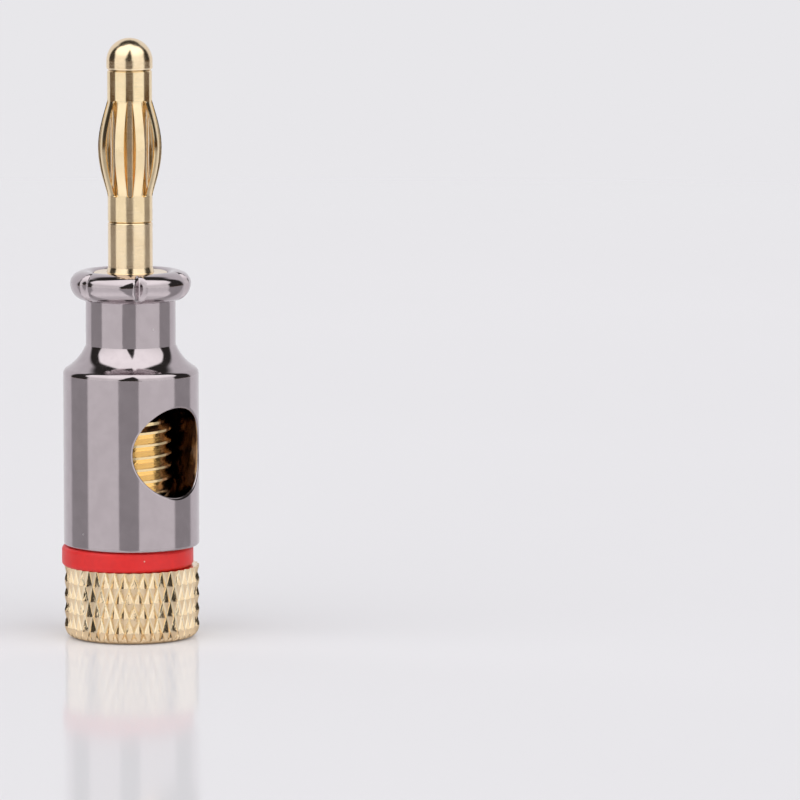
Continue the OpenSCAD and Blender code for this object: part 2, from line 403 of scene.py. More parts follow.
def shape_tree(name, counts, sizes, base=False):
    """An empty geometry tree that takes counts, sizes, a material and, where asked, a base mesh"""
    inputs = {"Geometry": "Geometry"} if base else {}
    inputs.update({label: "Int" for label in counts})
    inputs.update({label: "Float" for label in sizes})
    inputs["Material"] = "Material"
    return new_tree(name, "GeometryNodeTree", inputs, {"Geometry": "Geometry"})


def end_shape(sheet, given, result, shape):
    """Ends a geometry tree with real geometry in its material"""
    whole = sheet.add("GeometryNodeRealizeInstances", [shape])
    painted = sheet.add("GeometryNodeSetMaterial", {"Geometry": whole, "Material": given["Material"]})
    sheet.feed(result["Geometry"], painted)
    return sheet.tree


def around_axis_tree():
    """Repeats a shape around Z and welds the copies where they meet"""
    sheet, given, result = shape_tree("around_axis", ["Count"], ["First angle", "Weld"], base=True)
    angle = sheet.add("GeometryNodeInputIndex") * (FULL_TURN / given["Count"]) + given["First angle"]
    feeds = {
        "Points": sheet.add("GeometryNodePoints", {"Count": given["Count"]}),
        "Instance": given["Geometry"],
        "Rotation": sheet.join(z=angle),
    }
    copies = sheet.add("GeometryNodeRealizeInstances", [sheet.add("GeometryNodeInstanceOnPoints", feeds)])
    welded = sheet.add("GeometryNodeMergeByDistance", {"Geometry": copies, "Distance": given["Weld"]})
    return end_shape(sheet, given, result, welded)


def groove_tree():
    """Presses grooves with a round bottom along Z into a turned surface, evenly around it"""
    sizes = ["First angle", "Inner radius", "Middle", "Half length"]
    sizes += ["Depth", "Bottom radius", "Slope", "Softness"]
    sheet, given, result = shape_tree("pressed_grooves", ["Count"], sizes, base=True)
    place = sheet.split(sheet.add("GeometryNodeInputPosition"))
    r = sheet.radius(place)
    angle = sheet.math("ARCTAN2", place["Y"], place["X"]) - given["First angle"]
    step = FULL_TURN / given["Count"]
    nearest = sheet.math("ROUND", angle / step) * step
    across = r * sheet.math("SINE", angle - nearest)
    bottom_r = given["Bottom radius"]
    rise = sheet.math("SQRT", across**2 + bottom_r**2) - bottom_r
    along = (place["Z"] - given["Middle"]) / given["Half length"]
    fullness = sheet.math("SQRT", sheet.math("MAXIMUM", 1 - along**2, 0))
    floor_r = rise * given["Slope"] + (r - given["Depth"] * fullness)
    share = sheet.math("SMOOTH_MIN", r, floor_r, given["Softness"] * fullness) / r
    feeds = {
        "Geometry": given["Geometry"],
        "Selection": (fullness > 0) * (r > given["Inner radius"]),
        "Position": sheet.join(place["X"] * share, place["Y"] * share, place["Z"]),
    }
    return end_shape(sheet, given, result, sheet.add("GeometryNodeSetPosition", feeds))


def knurl_tree():
    """Lays diamonds on a flat lattice, one unit a half diamond, and wraps it around the screw's head"""
    sizes = ["First row", "Row step", "Head radius", "Head height", "End", "Corner", "Softness"]
    sizes += ["Depth", "Wear", "Land", "Weld"]
    sheet, given, result = shape_tree("diamond_knurl", ["Count", "Rows"], sizes)
    columns, rows = given["Count"] * 2, given["Rows"] + 2
    width, height = columns - 1, rows - 1
    feeds = {"Size X": width, "Size Y": height, "Vertices X": columns, "Vertices Y": rows}
    grid = sheet.add("GeometryNodeMeshGrid", feeds)
    feeds = {"Geometry": grid, "Translation": sheet.join(width / 2, height / 2 - 1)}
    lattice = sheet.add("GeometryNodeTransform", feeds)

    # A diamond on every second point
    place = sheet.split(sheet.add("GeometryNodeInputPosition"))
    parity = sheet.math("FLOORED_MODULO", place["X"] + place["Y"] + 0.5, 2)
    feeds = {"Vertices": 4, "Side Segments": 3, "Radius Top": given["Land"], "Radius Bottom": 1, "Depth": 1}
    cone = sheet.add("GeometryNodeMeshCone", feeds, fill_type="NGON")
    diamond = sheet.add("GeometryNodeDeleteGeometry", [cone["Mesh"], cone["Bottom"]], domain="FACE")
    feeds = {"Points": lattice, "Selection": parity > 1, "Instance": diamond}
    flat = sheet.add("GeometryNodeRealizeInstances", [sheet.add("GeometryNodeInstanceOnPoints", feeds)])
    fine = sheet.add("GeometryNodeSubdivideMesh", {"Mesh": flat, "Level": KNURL_CUTS})

    # Wrapped around the head, dented and cut by the rounded corner
    angle = place["X"] * (FULL_TURN / columns)
    across, along = sheet.math("COSINE", angle), sheet.math("SINE", angle)
    open_z = place["Y"] * given["Row step"] + given["First row"]
    z = sheet.math("MINIMUM", sheet.math("MAXIMUM", open_z, given["End"]), given["Head height"])
    head_r, corner = given["Head radius"], given["Corner"]
    dents = sheet.noise(sheet.join(across, along, z / head_r), DENT_SCALE, Detail=1.0)
    facet_r = head_r - (dents * given["Wear"] + (1 - place["Z"]) * given["Depth"])
    below = sheet.math("MAXIMUM", corner - z, 0) / corner
    corner_r = head_r - (1 - sheet.math("SQRT", 1 - below**2)) * corner
    r = sheet.math("SMOOTH_MIN", facet_r, corner_r, given["Softness"] * below)
    feeds = {"Geometry": fine, "Position": sheet.join(r * across, r * along, z)}
    head = sheet.add("GeometryNodeSetPosition", feeds)
    welded = sheet.add("GeometryNodeMergeByDistance", {"Geometry": head, "Distance": given["Weld"]})
    slivers = sheet.add("GeometryNodeInputMeshFaceArea") < WELD * WELD
    clean = sheet.add("GeometryNodeDeleteGeometry", [welded, slivers], domain="FACE")
    return end_shape(sheet, given, result, clean)


def thread_tree():
    """Sweeps a trapezoid ridge along a right-hand helix; it runs out at both ends"""
    sizes = ["Root radius", "Height", "Sunk", "Pitch", "Start", "Turns", "Crest width", "Root width"]
    sizes += ["Facing", "Run-out"]
    sheet, given, result = shape_tree("thread_ridge", [], sizes)
    feeds = {
        "Resolution": SPIRAL_POINTS,
        "Rotations": given["Turns"],
        "Start Radius": given["Root radius"],
        "End Radius": given["Root radius"],
        "Height": given["Turns"] * given["Pitch"],
        "Reverse": True,
    }
    spiral = sheet.add("GeometryNodeCurveSpiral", feeds)
    feeds = {"Geometry": spiral, "Translation": sheet.join(z=given["Start"])}
    helix = sheet.add("GeometryNodeSetCurveNormal", [sheet.add("GeometryNodeTransform", feeds)], mode="Z_UP")
    full = given["Height"] + given["Sunk"]
    feeds = {
        "Height": full,
        "Bottom Width": given["Root width"],
        "Top Width": given["Crest width"],
        "Offset": 0,
    }
    section = sheet.add("GeometryNodeCurvePrimitiveQuadrilateral", feeds, mode="TRAPEZOID")
    feeds = {
        "Geometry": section,
        "Translation": sheet.join(x=(full * 0.5 - given["Sunk"]) * given["Facing"]),
        "Rotation": sheet.join(z=given["Facing"] * -QUARTER),
    }
    ridge = sheet.add("GeometryNodeTransform", feeds)
    along = sheet.add("GeometryNodeSplineParameter")
    fade = sheet.math("MINIMUM", along, 1 - along) * given["Turns"] / given["Run-out"]
    scale = sheet.math("MINIMUM", sheet.math("MAXIMUM", fade, THREAD_TIP), 1)
    feeds = {"Curve": helix, "Profile Curve": ridge, "Scale": scale, "Fill Caps": True}
    return end_shape(sheet, given, result, sheet.add("GeometryNodeCurveToMesh", feeds))


# Meshes

def line(start, end):
    """A straight stretch of a turned outline, as (r, z, normal r, normal z) points"""
    size = math.dist(start, end)
    normal = ((end[1] - start[1]) / size, (start[0] - end[0]) / size)
    return [(*start, *normal), (*end, *normal)]


def lines(*points):
    """Straight stretches from point to point"""
    return [line(start, end) for start, end in zip(points, points[1:])]


def arc(centre, half_r, half_z, first, last, rows=ARC_ROWS):
    """An elliptic stretch of a turned outline about centre, between two angles in radians"""
    points = []
    facing = math.copysign(1, last - first)
    for row in range(rows + 1):
        angle = first + (last - first) * row / rows
        across, along = math.cos(angle), math.sin(angle)
        normal = Vector((half_z * across, half_r * along)).normalized() * facing
        points.append((centre[0] + half_r * across, centre[1] + half_z * along, *normal))
    return points


def bend(centre, radius, first, last, rows=ARC_ROWS):
    """A round stretch of a turned outline"""
    return arc(centre, radius, radius, first, last, rows)


def turned_mesh(name, runs, segments=TURN_SEGMENTS):
    """A mesh turned about Z from the runs of an outline; every run keeps its own normals to its ends"""
    spokes = [(math.cos(a), math.sin(a)) for a in np.arange(segments + 1) * (FULL_TURN / segments)]
    vertices, faces, normals = [], [], []

    def ring(point):
        """Vertices around the axis, or one on it, as an index for each spoke"""
        used = 1 if point[0] < POLE else segments
        first = len(vertices)
        vertices.extend((point[0] * c, point[0] * s, point[1]) for c, s in spokes[:used])
        return [first + j % used for j in range(segments + 1)]

    low = first_ring = ring(runs[0][0])
    closed = math.dist(runs[0][0][:2], runs[-1][-1][:2]) < WELD
    for run in runs:
        for start, end in zip(run, run[1:]):
            last = closed and run is runs[-1] and end is run[-1]
            high = first_ring if last else ring(end)
            for j in range(segments):
                corners = [(low, j, start), (low, j + 1, start), (high, j + 1, end), (high, j, end)]
                face = {}
                for at, spoke, point in corners:
                    face.setdefault(at[spoke], (spokes[spoke], point))
                faces.append(list(face))
                normals.extend((c * p[2], s * p[2], p[3]) for (c, s), p in face.values())
            low = high
    mesh = bpy.data.meshes.new(name)
    mesh.from_pydata(vertices, [], faces)
    attribute = mesh.attributes.new(TURNED_NORMAL, "FLOAT_VECTOR", "CORNER")
    attribute.data.foreach_set("vector", np.array(normals, np.float32).ravel())
    return mesh


def vectors(items, field):
    """A named vector of every item, one row each"""
    values = np.zeros(len(items) * 3, np.float32)
    items.foreach_get(field, values)
    return values.reshape(-1, 3)


def free_normals(mesh, moved):
    """Drops the turned normals at vertices that have been moved, so that they follow the mesh there"""
    corners = np.zeros(len(mesh.loops), np.int32)
    mesh.loops.foreach_get("vertex_index", corners)
    attribute = mesh.attributes[TURNED_NORMAL]
    normals = vectors(attribute.data, "vector")
    normals[moved[corners]] = 0
    attribute.data.foreach_set("vector", normals.ravel())


def add_object(name, mesh):
    """An object in the scene"""
    obj = bpy.data.objects.new(name, mesh)
    bpy.context.scene.collection.objects.link(obj)
    return obj


def finish_mesh(work, name):
    """Turns finished bmesh work into a mesh"""
    mesh = bpy.data.meshes.new(name)
    work.to_mesh(mesh)
    work.free()
    return mesh


def settle(obj):
    """Turns what the modifiers make into the object's own plain mesh"""
    bpy.context.view_layer.update()
    evaluated = obj.evaluated_get(bpy.context.evaluated_depsgraph_get())
    mesh = bpy.data.meshes.new_from_object(evaluated)
    obj.modifiers.clear()
    obj.data = mesh
    return obj


def grow(name, tree, values, base=None):
    """A plain mesh object that a geometry node tree makes from named values and a base mesh"""
    obj = add_object(name, base or bpy.data.meshes.new(name))
    modifier = obj.modifiers.new("grow", "NODES")
    modifier.node_group = tree
    for item in tree.interface.items_tree:
        if item.name in values:
            modifier[item.identifier] = values[item.name]
    return settle(obj)


def grow_thread(name, s, root_r, start, turns, facing, material):
    """A thread's ridge on a root radius; it faces outwards with 1.0 and inwards with -1.0"""
    values = {
        "Root radius": root_r,
        "Height": s.thread_h,
        "Sunk": THREAD_SUNK,
        "Pitch": s.pitch,
        "Start": start,
        "Turns": turns,
        "Crest width": s.crest_w,
        "Root width": s.root_w,
        "Facing": facing,
        "Run-out": THREAD_RUN_OUT,
        "Material": material,
    }
    return grow(name, thread_tree(), values)


def thread_start(screw):
    """Height where the tail screw's thread starts"""
    return screw.head_h + screw.pitch / 2


def cut(obj, cutter):
    """Takes the cutter out of the object and removes it"""
    modifier = obj.modifiers.new("cut", "BOOLEAN")
    modifier.operation = "DIFFERENCE"
    modifier.solver = "MANIFOLD"
    modifier.object = cutter
    settle(obj)
    bpy.data.objects.remove(cutter)


def take_in(obj, other):
    """Joins another object's mesh into the object and removes it"""
    work = bmesh.new()
    for source in (obj, other):
        work.from_mesh(source.data)
    work.to_mesh(obj.data)
    work.free()
    bpy.data.objects.remove(other)


def bridge_rings(obj, height):
    """Closes the ring-shaped gap that two open edges leave at one height"""
    work = bmesh.new()
    work.from_mesh(obj.data)
    rim = [
        edge
        for edge in work.edges
        if edge.is_boundary and all(abs(vertex.co.z - height) < 10 * WELD for vertex in edge.verts)
    ]
    bmesh.ops.bridge_loops(work, edges=rim)
    work.to_mesh(obj.data)
    work.free()


def shade(mesh, material):
    """Gives the mesh its material, the turned normals where it has them and crisp edges elsewhere"""
    mesh.materials.clear()
    mesh.materials.append(material)
    mesh.polygons.foreach_set("material_index", np.zeros(len(mesh.polygons), np.int32))
    mesh.shade_smooth()
    mesh.set_sharp_from_angle(angle=SHARP_ANGLE)
    normals = vectors(mesh.corner_normals, "vector")
    attribute = mesh.attributes.get(TURNED_NORMAL)
    if attribute:
        turned = vectors(attribute.data, "vector")
        size = np.linalg.norm(turned, axis=1)
        given = size > 0.5
        normals[given] = turned[given] / size[given, None]
        mesh.attributes.remove(attribute)
    mesh.normals_split_custom_set(normals)


def seat(obj, body, node):
    """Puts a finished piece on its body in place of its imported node"""
    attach(obj, body)
    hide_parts(node)


# Materials

def effect_tree(name, values, outputs):
    """An empty shader group that takes a place and plain values and puts out plain values"""
    inputs = {"Vector": "Vector", **{label: "Float" for label in values}}
    return new_tree(name, "ShaderNodeTree", inputs, {label: "Float" for label in outputs})


def polish_group():
    """Cloudy handling marks of a polished surface"""
    sheet, given, result = effect_tree("polish", ["Scale", "Roughness", "Spread"], ["Cloud", "Roughness"])
    clouds = sheet.noise(given["Vector"], given["Scale"], Detail=5.0, Roughness=0.6)
    cloud = sheet.smooth(clouds, 0.3, 0.7)
    sheet.feed(result["Cloud"], cloud)
    sheet.feed(result["Roughness"], (cloud - 0.5) * given["Spread"] + given["Roughness"])
    return sheet.tree


def lathe_group():
    """Fine turning marks that run around Z"""
    sheet, given, result = effect_tree("lathe_marks", ["Around", "Along"], ["Height"])
    stretch = sheet.join(given["Around"], given["Around"], given["Along"])
    scaled = sheet.add("ShaderNodeVectorMath", [given["Vector"], stretch], operation="MULTIPLY")
    sheet.feed(result["Height"], sheet.noise(scaled, 1.0, Detail=4.0, Roughness=0.65))
    return sheet.tree


def speck_group():
    """Scattered small specks"""
    sheet, given, result = effect_tree("specks", ["Scale", "Share", "Size"], ["Mask"])
    feeds = {"Vector": given["Vector"], "Scale": given["Scale"]}
    cells = sheet.add("ShaderNodeTexVoronoi", feeds)
    chance = sheet.add("ShaderNodeSeparateColor", [cells["Color"]])
    sheet.feed(result["Mask"], (chance < given["Share"]) * (cells["Distance"] < given["Size"]))
    return sheet.tree


EFFECTS = {"polish": polish_group, "lathe_marks": lathe_group, "specks": speck_group}


def use_effect(sheet, name, feeds):
    """Places a shared shader group, which is made at its first use, and returns its first output"""
    group = bpy.data.node_groups.get(name) or EFFECTS[name]()
    return sheet.add("ShaderNodeGroup", feeds, node_tree=group)


def new_material(name):
    """A plain material: its sheet, its Principled shader's inputs and its Object coordinates"""
    material = bpy.data.materials.new(name)
    material.use_nodes = True
    sheet = Sheet(material.node_tree)
    shader = material.node_tree.nodes["Principled BSDF"].inputs
    return material, sheet, shader, sheet.add("ShaderNodeTexCoord", out="Object")


def plated_metal(name, sizes, roughness, spread, marks, marks_depth, dust_share, zones=(), pits=0.0):
    """Plated metal: cloudy tone and polish, turning marks, fine pits and a few specks of dust

    Each zone is a tone, the radius that it lies within and the heights between which it lies; the shell's
    dark bore zone is painted shade and the knurl's pale groove zone is painted light.
    """
    material, sheet, shader, place = new_material(name)
    sheet.feed(shader["Metallic"], 1.0)
    feeds = {"Vector": place, "Scale": 900.0, "Roughness": roughness, "Spread": spread}
    polish = use_effect(sheet, "polish", feeds)
    lathe = use_effect(sheet, "lathe_marks", {"Vector": place, "Around": 500.0, "Along": marks})
    feeds = {"Vector": place, "Scale": 2600.0, "Share": dust_share, "Size": 0.16}
    dust = use_effect(sheet, "specks", feeds)
    tone = sheet.blend(polish["Cloud"], (*sizes.dark, 1), (*sizes.light, 1))
    at = sheet.split(place)
    r = sheet.radius(at)
    for zone_tone, radius, low, high in zones:
        within = sheet.smooth(r, radius + ZONE_EDGE, radius - ZONE_EDGE)
        between = (at["Z"] > low) * (at["Z"] < high)
        tone = sheet.blend(within * between, tone, (*zone_tone, 1))
    sheet.feed(shader["Base Color"], sheet.blend(dust, tone, METAL_DUST))
    sheet.feed(shader["Roughness"], dust * 0.4 + polish["Roughness"])
    height = sheet.noise(place, 6500.0, Detail=2.0) * pits + lathe
    feeds = {"Height": height, "Strength": marks_depth, "Distance": BUMP_DISTANCE}
    sheet.feed(shader["Normal"], sheet.add("ShaderNodeBump", feeds))
    return material


def red_plastic(sizes):
    """Satin moulded plastic with fine grain, soft mottling and dust"""
    material, sheet, shader, place = new_material("red_plastic")
    sheet.feed(shader["IOR"], 1.49)
    feeds = {"Vector": place, "Scale": 1300.0, "Roughness": 0.45, "Spread": 0.12}
    polish = use_effect(sheet, "polish", feeds)
    feeds = {"Vector": place, "Scale": 2300.0, "Share": 0.012, "Size": 0.2}
    dust = use_effect(sheet, "specks", feeds)
    tone = sheet.blend(polish["Cloud"], (*sizes.dark, 1), (*sizes.light, 1))
    sheet.feed(shader["Base Color"], sheet.blend(dust, tone, PLASTIC_DUST))
    sheet.feed(shader["Roughness"], polish["Roughness"])
    height = dust + sheet.noise(place, 9000.0, Detail=3.0)
    feeds = {"Height": height, "Strength": 0.25, "Distance": BUMP_DISTANCE}
    sheet.feed(shader["Normal"], sheet.add("ShaderNodeBump", feeds))
    return material


# Pieces

class PLUG_OT_shell(bpy.types.Operator):
    """Turn the plated shell, with its side wire hole and the notches in its bead"""

    bl_idname = "plug.shell"
    bl_label = "Shell"

    def execute(self, context):
        s = context.scene.plug.shell
        # Painted shade: inside the body, the bore and the hole walls are painted darker
        zones = [(s.bore, s.body_d / 2 - s.hole_round, s.rear + s.lead_in, s.bore_end + s.hole_round)]
        material = plated_metal(
            "black_nickel",
            s,
            roughness=0.075,
            spread=0.05,
            marks=26000.0,
            marks_depth=0.05,
            dust_share=0.006,
            zones=zones,
        )
        obj = self.notched(s, turned_mesh("shell_plated", self.outline(s), SHELL_SEGMENTS), material)
        thread = self.thread(s, context.scene.plug.screw, material)
        for part in (obj, thread):
            cut(part, add_object("hole_cutter", self.hole(s)))
        take_in(obj, thread)
        shade(obj.data, material)
        seat(obj, "plug", "shell")
        return {"FINISHED"}

    def notched(self, s, mesh, material):
        """The turned shell with the notches pressed into its bead"""
        before = vectors(mesh.vertices, "co")
        values = {
            "Count": s.notch_count,
            "First angle": math.pi / s.notch_count - QUARTER + s.notch_turn,
            "Inner radius": s.neck_d / 2 + s.notch_soft,
            "Middle": s.mouth - (s.bead_front + s.bead_rear) / 2,
            "Half length": (s.bead_front + s.bead_rear) / 2,
            "Depth": s.notch_depth,
            "Bottom radius": s.notch_r,
            "Slope": s.notch_slope,
            "Softness": s.notch_soft,
            "Material": material,
        }
        obj = grow("shell_plated", groove_tree(), values, mesh)
        moved = np.abs(vectors(obj.data.vertices, "co") - before).max(axis=1) > POLE
        free_normals(obj.data, moved)
        return obj

    def outline(self, s):
        """Half section of the shell: outside from the rear to the mouth, then back inside"""
        body_r, neck_r, bead_r = s.body_d / 2, s.neck_d / 2, s.bead_d / 2
        mouth_r, socket_r, bore_r = s.mouth_d / 2, s.shank_d / 2, s.bore_d / 2
        bead_z = s.mouth - s.bead_front
        bead_foot = bead_z - s.bead_rear
        neck_foot = bead_foot - s.neck_l
        flare_x = neck_r + s.flare_r * math.cos(s.flare_start)
        flare_z = neck_foot + s.flare_r * math.sin(s.flare_start)
        flare_end = math.acos((flare_x + s.corner_r - body_r) / (s.flare_r + s.corner_r))
        body_top = flare_z - (s.flare_r + s.corner_r) * math.sin(flare_end)
        lip_z = s.mouth - s.mouth_lip
        seat_z = s.mouth - s.mouth_depth
        return [
            bend((body_r - s.body_round, s.rear + s.body_round), s.body_round, -QUARTER, 0, 8),
            line((body_r, s.rear + s.body_round), (body_r, body_top)),
            bend((body_r - s.corner_r, body_top), s.corner_r, 0, flare_end),
            bend((flare_x, flare_z), s.flare_r, math.pi + flare_end, math.pi + s.flare_start, 32),
            line((neck_r, neck_foot), (neck_r, bead_foot)),
            arc((neck_r, bead_z), bead_r - neck_r, s.bead_rear, -QUARTER, 0, 28),
            arc((neck_r, bead_z), bead_r - neck_r, s.bead_front, 0, QUARTER, 28),
            arc((neck_r, lip_z), neck_r - mouth_r, s.mouth_lip, QUARTER, math.pi, 12),
            *lines(
                (mouth_r, lip_z),
                (mouth_r, seat_z),
                (socket_r, seat_z),
                (socket_r, s.bore_end),
                (bore_r, s.bore_end),
                (bore_r, s.rear + s.lead_in),
                (bore_r + s.lead_in, s.rear),
                (body_r - s.body_round, s.rear),
            ),
        ]

    def hole(self, s):
        """Cutter for the wire hole; its rim rounds over into the round body"""
        hole_r, body_r, rim_r = s.hole_d / 2, s.body_d / 2, s.hole_round
        reach = [math.radians(angle) for angle in RIM_ANGLES]
        profile = [(hole_r + rim_r * (1 - math.cos(a)), rim_r * (1 - math.sin(a))) for a in reach]
        # The last step goes on, a little flatter, out through the body's surface
        out_r, out_depth = (2 * b - a for a, b in zip(*profile[-2:]))
        profile.append((out_r + rim_r / 4, out_depth - rim_r / 20))
        work = bmesh.new()
        rings = []
        spokes = [FULL_TURN * j / HOLE_SEGMENTS for j in range(HOLE_SEGMENTS)]

        def ring(radius, depth=None):
            """A ring at a depth below the body's surface, or flat at the hole's full depth"""
            points = [Vector((radius * math.cos(a), 0, s.hole_z + radius * math.sin(a))) for a in spokes]
            for point in points:
                if depth is None:
                    point.y = s.hole_depth - body_r
                else:
                    point.y = depth - math.sqrt(body_r**2 - point.x**2)
            rings.append([work.verts.new(point) for point in points])

        ring(hole_r)
        for radius, depth in profile:
            ring(radius, depth)
        rings.append([work.verts.new((vertex.co.x, -2 * body_r, vertex.co.z)) for vertex in rings[-1]])
        for low, high in zip(rings, rings[1:]):
            for j in range(HOLE_SEGMENTS):
                work.faces.new((low[j - 1], low[j], high[j], high[j - 1]))
        work.faces.new(rings[0])
        work.faces.new(rings[-1])
        bmesh.ops.recalc_face_normals(work, faces=work.faces)
        return finish_mesh(work, "hole_cutter")

    def thread(self, s, screw, material):
        """The bore's thread, which runs between the turns of the tail screw's thread"""
        lowest = s.rear + s.pitch
        turns_up = math.ceil((lowest - thread_start(screw)) / s.pitch)
        start = thread_start(screw) + s.pitch * (0.5 + turns_up)
        turns = math.floor((s.bore_end - lowest) / s.pitch) - 1.0
        return grow_thread("bore_thread", s, s.bore_d / 2, start, turns, -1.0, material)


class PLUG_OT_pin(bpy.types.Operator):
    """Turn the pin: shank, flange, coned collar, shaft, core and round nose"""

    bl_idname = "plug.pin"
    bl_label = "Banana pin"

    def execute(self, context):
        s = context.scene.plug.pin
        spring = context.scene.plug.spring
        obj = add_object("pin_turned", turned_mesh("pin_turned", self.outline(s, spring)))
        material = plated_metal(
            "gold_plate", s, roughness=0.16, spread=0.06, marks=30000.0, marks_depth=0.22, dust_share=0.004
        )
        shade(obj.data, material)
        seat(obj, "plug", "banana_pin")
        return {"FINISHED"}

    def outline(self, s, spring):
        """Half section of the pin from the shank's end on the axis to the tip of the nose"""
        shank_r, flange_r, shaft_r = s.shank_d / 2, s.flange_d / 2, s.shaft_d / 2
        core_r, nose_r = s.core_d / 2, s.nose_d / 2
        flange_z = s.flange_rear + s.flange_t
        shaft_z = spring.rear - s.play
        nose_z = spring.front + s.play
        dome_z = s.front - nose_r
        corner, shaft_break, nose_break = s.flange_round, s.shaft_break, s.nose_break
        return [
            *lines(
                (0, s.rear),
                (shank_r, s.rear),
                (shank_r, s.flange_rear),
                (flange_r, s.flange_rear),
                (flange_r, flange_z - corner),
            ),
            bend((flange_r - corner, flange_z - corner), corner, 0, QUARTER, 8),
            *lines(
                (flange_r - corner, flange_z),
                (shaft_r + s.collar_step, flange_z),
                (shaft_r, flange_z + s.collar_h),
                (shaft_r, shaft_z - shaft_break),
            ),
            bend((shaft_r - shaft_break, shaft_z - shaft_break), shaft_break, 0, QUARTER, 6),
            *lines(
                (shaft_r - shaft_break, shaft_z),
                (core_r, shaft_z),
                (core_r, nose_z),
                (nose_r - nose_break, nose_z),
            ),
            bend((nose_r - nose_break, nose_z + nose_break), nose_break, -QUARTER, 0, 8),
            line((nose_r, nose_z + nose_break), (nose_r, dome_z)),
            bend((0, dome_z), nose_r, 0, QUARTER, 40),
        ]


class PLUG_OT_spring(bpy.types.Operator):
    """Roll the lantern spring: one bowed leaf with its share of the bands, repeated around the pin"""

    bl_idname = "plug.spring"
    bl_label = "Lantern spring"

    # Fullness of the bow: 1 is a plain sine, more is flatter at the ends
    bow_power = 1.05

    def execute(self, context):
        s = context.scene.plug.spring
        material = plated_metal(
            "spring_gold", s, roughness=0.13, spread=0.05, marks=22000.0, marks_depth=0.1, dust_share=0.003
        )
        values = {
            "Count": s.leaf_count,
            "First angle": s.slot_side + math.pi / s.leaf_count,
            "Weld": WELD,
            "Material": material,
        }
        obj = grow("lantern_leaves", around_axis_tree(), values, self.leaf(s))
        shade(obj.data, material)
        seat(obj, "plug", "lantern_spring")
        return {"FINISHED"}

    def bow(self, s, z):
        """How far a leaf stands out from the sleeve at height z"""
        start = s.rear + s.band_l + s.bow_inset
        share = (z - start) / (s.slot_l - 2 * s.bow_inset)
        if not 0 < share < 1:
            return 0.0
        return (s.bulge_d - s.sleeve_d) / 2 * math.sin(math.pi * share) ** self.bow_power

    def half_slot(self, s, z):
        """Half the width of the slot beside a leaf at height z, with round ends"""
        rear = s.rear + s.band_l
        inside = min(z - rear, rear + s.slot_l - z)
        if inside <= 0:
            return 0.0
        slope = (s.slot_mid_w - s.slot_w) / (s.bulge_d - s.sleeve_d)
        side = s.slot_w / 2 + slope * self.bow(s, z)
        round_r = s.slot_w / 2
        if inside >= round_r:
            return side
        return min(side, math.sqrt(round_r**2 - (round_r - inside) ** 2))

    def heights(self, s):
        """Rows of the leaf: edge breaks, bands, round slot ends with close rows, and the bow"""
        rear, slot = s.rear, s.rear + s.band_l
        round_r = s.slot_w / 2
        ends = [round_r * (1 - math.cos(QUARTER * i / SLOT_END_ROWS)) for i in range(SLOT_END_ROWS + 1)]
        inner = [round_r + (s.slot_l - 2 * round_r) * i / LEAF_ROWS for i in range(1, LEAF_ROWS)]
        in_slot = ends + inner + [s.slot_l - end for end in reversed(ends)]
        rear_band = [rear, rear + s.edge, (rear + slot) / 2]
        front_band = [(slot + s.slot_l + s.front) / 2, s.front - s.edge, s.front]
        return rear_band + [slot + z for z in in_slot] + front_band

    def leaf(self, s):
        """One leaf towards +X with its share of both bands: outer and inner face, and broken edges"""
        half_pitch = math.pi / s.leaf_count
        slot, slot_end = s.rear + s.band_l, s.rear + s.band_l + s.slot_l
        work = bmesh.new()
        rows = []
        heights = self.heights(s)
        for z in heights:
            r = s.sleeve_d / 2 + self.bow(s, z)
            gap = self.half_slot(s, z)
            edge = min(s.edge, gap / 4)
            reach = half_pitch - math.asin(gap / r)
            flat = reach - edge / r
            end_break = s.edge if z in (s.rear, s.front) else 0.0
            spread = [flat * (2 * i / LEAF_COLUMNS - 1) for i in range(LEAF_COLUMNS + 1)]
            section = [(r - end_break, a) for a in spread]
            section += [(r - edge, reach), (r - s.sheet_t + edge, reach)]
            section += [(r - s.sheet_t, a) for a in reversed(spread)]
            section += [(r - s.sheet_t + edge, -reach), (r - edge, -reach)]
            rows.append([work.verts.new((d * math.cos(a), d * math.sin(a), z)) for d, a in section])
        outer = LEAF_COLUMNS + 1
        # The steps of a section that lie along the slots; the closed bands have no faces there
        sides = {*range(LEAF_COLUMNS, outer + 2), *range(2 * outer + 1, 2 * outer + 4)}
        for low, high, z0, z1 in zip(rows, rows[1:], heights, heights[1:]):
            open_here = z0 >= slot - WELD and z1 <= slot_end + WELD
            for j in range(len(low)):
                if j in sides and not open_here:
                    continue
                k = (j + 1) % len(low)
                work.faces.new((low[j], low[k], high[k], high[j]))
        for row in (rows[0], rows[-1]):
            for j in range(LEAF_COLUMNS):
                work.faces.new((row[j], row[j + 1], row[2 * outer - j], row[2 * outer + 1 - j]))
        bmesh.ops.remove_doubles(work, verts=work.verts, dist=WELD / 10)
        bmesh.ops.recalc_face_normals(work, faces=work.faces)
        return finish_mesh(work, "leaf")


